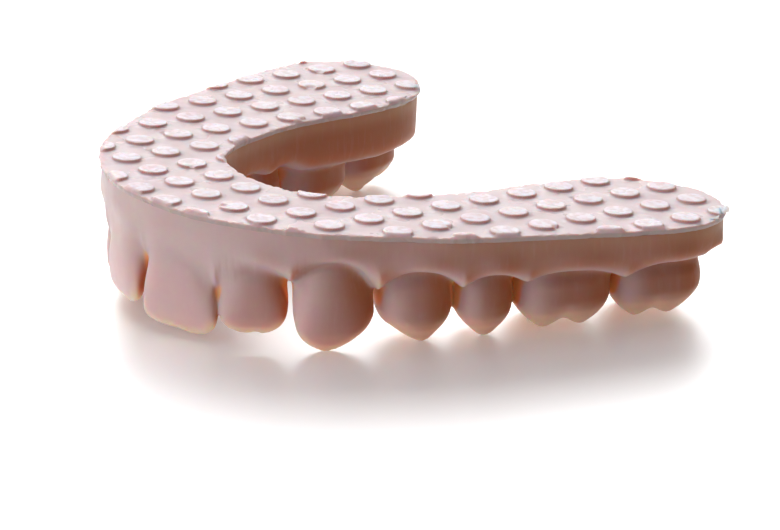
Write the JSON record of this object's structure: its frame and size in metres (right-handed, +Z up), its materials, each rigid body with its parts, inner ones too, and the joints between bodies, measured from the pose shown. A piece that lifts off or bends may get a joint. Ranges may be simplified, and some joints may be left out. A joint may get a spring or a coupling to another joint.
{
  "type": "dental arch model",
  "caption": "Horseshoe-shaped model of an upper dental arch, printed in resin: a flat base with raised platform discs, a gum wall and separate crowns, lying on the crowns.",
  "frame": {"origin": "middle of the underside of the model's box, on the plane that the crowns rest on", "axes": "+X to the patient's left, across the arch; +Y to the back of the mouth, the open end of the horseshoe; +Z up from the crowns' tips to the base"},
  "size_m": [0.0684, 0.0526, 0.0143],
  "materials": {
    "printed_resin": "satin translucent model resin",
    "first_layer_resin": "satin, paler first cured layer"
  },
  "bodies": {
    "root": {"first_layer_with_discs": "first_layer_resin", "gum": "printed_resin", "horseshoe_base": "printed_resin", "left_canine": "printed_resin", "left_central_incisor": "printed_resin", "left_first_molar": "printed_resin", "left_first_premolar": "printed_resin", "left_lateral_incisor": "printed_resin", "left_second_molar": "printed_resin", "left_second_premolar": "printed_resin", "right_canine": "printed_resin", "right_central_incisor": "printed_resin", "right_first_molar": "printed_resin", "right_first_premolar": "printed_resin", "right_lateral_incisor": "printed_resin", "right_second_molar": "printed_resin", "right_second_premolar": "printed_resin"}
  },
  "joints": []
}
